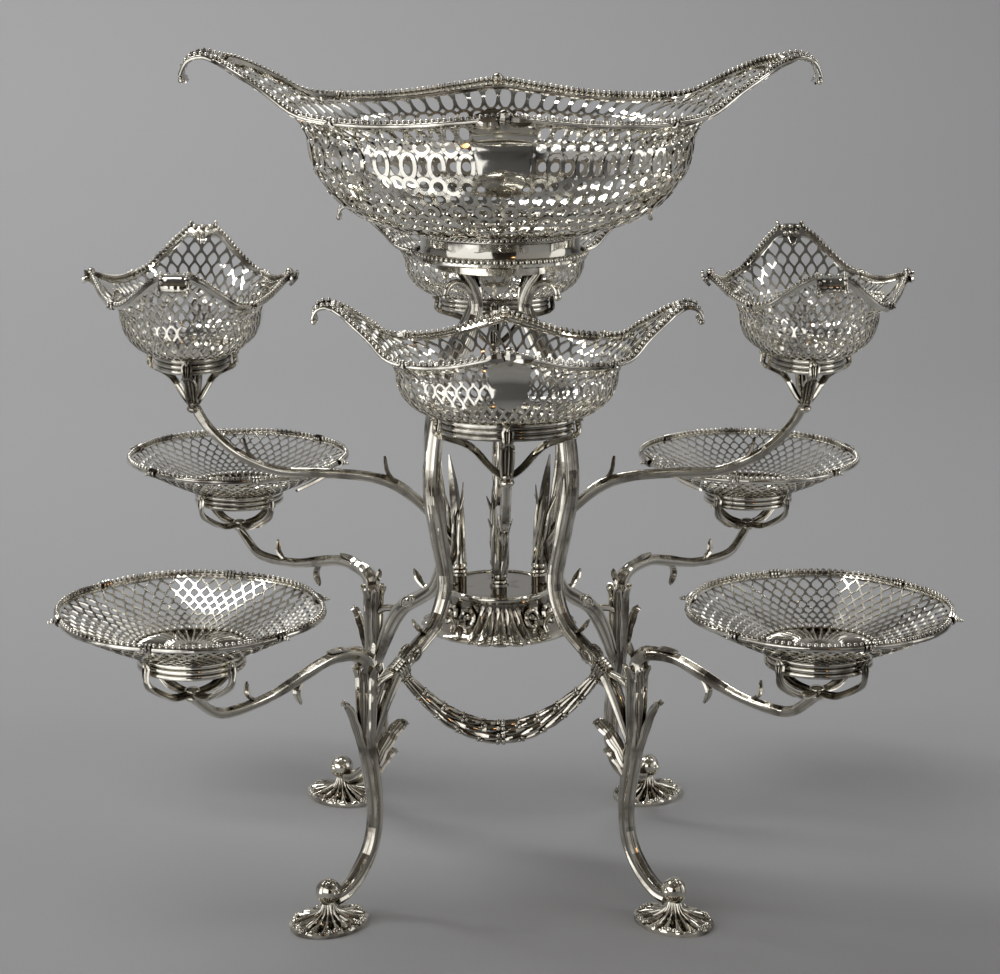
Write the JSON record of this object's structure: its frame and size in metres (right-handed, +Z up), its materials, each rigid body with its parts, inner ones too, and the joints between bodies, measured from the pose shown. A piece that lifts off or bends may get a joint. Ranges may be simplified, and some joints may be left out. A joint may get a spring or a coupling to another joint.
{
  "type": "table epergne",
  "caption": "Silver epergne: leafed branch stand on shell feet, with lift-out arms carrying round pierced dishes and boat baskets under a large oval pierced basket.",
  "frame": {"origin": "on the floor, at the middle of the four feet", "axes": "+Z up along the stand's centre line, +X to the right seen from the front, -Y towards the front with the garland"},
  "size_m": [0.463, 0.4802, 0.467],
  "materials": {
    "silver": "polished",
    "silver_bright": "polished"
  },
  "bodies": {
    "stand": {"leg_fl": "silver", "leg_fr": "silver", "leg_rl": "silver", "leg_rr": "silver", "foot_fl": "silver_bright", "foot_fr": "silver_bright", "foot_rl": "silver_bright", "foot_rr": "silver_bright", "pan": "silver", "pan_sockets": "silver_bright", "leg_sockets": "silver_bright", "crown_ring": "silver_bright", "swag": "silver_bright"},
    "lower_branch_fl": {"lower_arm_fl": "silver", "lower_cradle_fl": "silver_bright"},
    "round_dish_fl": {"dish_fl": "silver", "dish_rim_fl": "silver_bright", "dish_foot_fl": "silver_bright"},
    "lower_branch_fr": {"lower_arm_fr": "silver", "lower_cradle_fr": "silver_bright"},
    "round_dish_fr": {"dish_fr": "silver", "dish_rim_fr": "silver_bright", "dish_foot_fr": "silver_bright"},
    "lower_branch_rl": {"lower_arm_rl": "silver", "lower_cradle_rl": "silver_bright"},
    "round_dish_rl": {"dish_rl": "silver", "dish_rim_rl": "silver_bright", "dish_foot_rl": "silver_bright"},
    "lower_branch_rr": {"lower_arm_rr": "silver", "lower_cradle_rr": "silver_bright"},
    "round_dish_rr": {"dish_rr": "silver", "dish_rim_rr": "silver_bright", "dish_foot_rr": "silver_bright"},
    "upper_branch_front": {"upper_arm_front": "silver", "upper_cradle_front": "silver_bright"},
    "boat_basket_front": {"boat_front": "silver", "boat_rim_front": "silver_bright", "boat_foot_front": "silver_bright"},
    "upper_branch_rear": {"upper_arm_rear": "silver", "upper_cradle_rear": "silver_bright"},
    "boat_basket_rear": {"boat_rear": "silver", "boat_rim_rear": "silver_bright", "boat_foot_rear": "silver_bright"},
    "upper_branch_left": {"upper_arm_left": "silver", "upper_cradle_left": "silver_bright"},
    "boat_basket_left": {"boat_left": "silver", "boat_rim_left": "silver_bright", "boat_foot_left": "silver_bright"},
    "upper_branch_right": {"upper_arm_right": "silver", "upper_cradle_right": "silver_bright"},
    "boat_basket_right": {"boat_right": "silver", "boat_rim_right": "silver_bright", "boat_foot_right": "silver_bright"},
    "large_basket": {"basket": "silver", "basket_rim": "silver_bright", "basket_foot": "silver_bright"}
  },
  "joints": [
    {"name": "lower_branch_fl_lift", "type": "slide", "parent": "stand", "child": "lower_branch_fl", "axis": [0, 0, 1], "range_m": [0, 0.012]},
    {"name": "round_dish_fl_lift", "type": "slide", "parent": "lower_branch_fl", "child": "round_dish_fl", "axis": [0, 0, 1], "range_m": [0, 0.05]},
    {"name": "lower_branch_fr_lift", "type": "slide", "parent": "stand", "child": "lower_branch_fr", "axis": [0, 0, 1], "range_m": [0, 0.012]},
    {"name": "round_dish_fr_lift", "type": "slide", "parent": "lower_branch_fr", "child": "round_dish_fr", "axis": [0, 0, 1], "range_m": [0, 0.05]},
    {"name": "lower_branch_rl_lift", "type": "slide", "parent": "stand", "child": "lower_branch_rl", "axis": [0, 0, 1], "range_m": [0, 0.012]},
    {"name": "round_dish_rl_lift", "type": "slide", "parent": "lower_branch_rl", "child": "round_dish_rl", "axis": [0, 0, 1], "range_m": [0, 0.05]},
    {"name": "lower_branch_rr_lift", "type": "slide", "parent": "stand", "child": "lower_branch_rr", "axis": [0, 0, 1], "range_m": [0, 0.012]},
    {"name": "round_dish_rr_lift", "type": "slide", "parent": "lower_branch_rr", "child": "round_dish_rr", "axis": [0, 0, 1], "range_m": [0, 0.05]},
    {"name": "upper_branch_front_lift", "type": "slide", "parent": "stand", "child": "upper_branch_front", "axis": [0, 0, 1], "range_m": [0, 0.012]},
    {"name": "boat_basket_front_lift", "type": "slide", "parent": "upper_branch_front", "child": "boat_basket_front", "axis": [0, 0, 1], "range_m": [0, 0.04]},
    {"name": "upper_branch_rear_lift", "type": "slide", "parent": "stand", "child": "upper_branch_rear", "axis": [0, 0, 1], "range_m": [0, 0.012]},
    {"name": "boat_basket_rear_lift", "type": "slide", "parent": "upper_branch_rear", "child": "boat_basket_rear", "axis": [0, 0, 1], "range_m": [0, 0.04]},
    {"name": "upper_branch_left_lift", "type": "slide", "parent": "stand", "child": "upper_branch_left", "axis": [0, 0, 1], "range_m": [0, 0.012]},
    {"name": "boat_basket_left_lift", "type": "slide", "parent": "upper_branch_left", "child": "boat_basket_left", "axis": [0, 0, 1], "range_m": [0, 0.04]},
    {"name": "upper_branch_right_lift", "type": "slide", "parent": "stand", "child": "upper_branch_right", "axis": [0, 0, 1], "range_m": [0, 0.012]},
    {"name": "boat_basket_right_lift", "type": "slide", "parent": "upper_branch_right", "child": "boat_basket_right", "axis": [0, 0, 1], "range_m": [0, 0.04]},
    {"name": "large_basket_lift", "type": "slide", "parent": "stand", "child": "large_basket", "axis": [0, 0, 1], "range_m": [0, 0.08]}
  ]
}
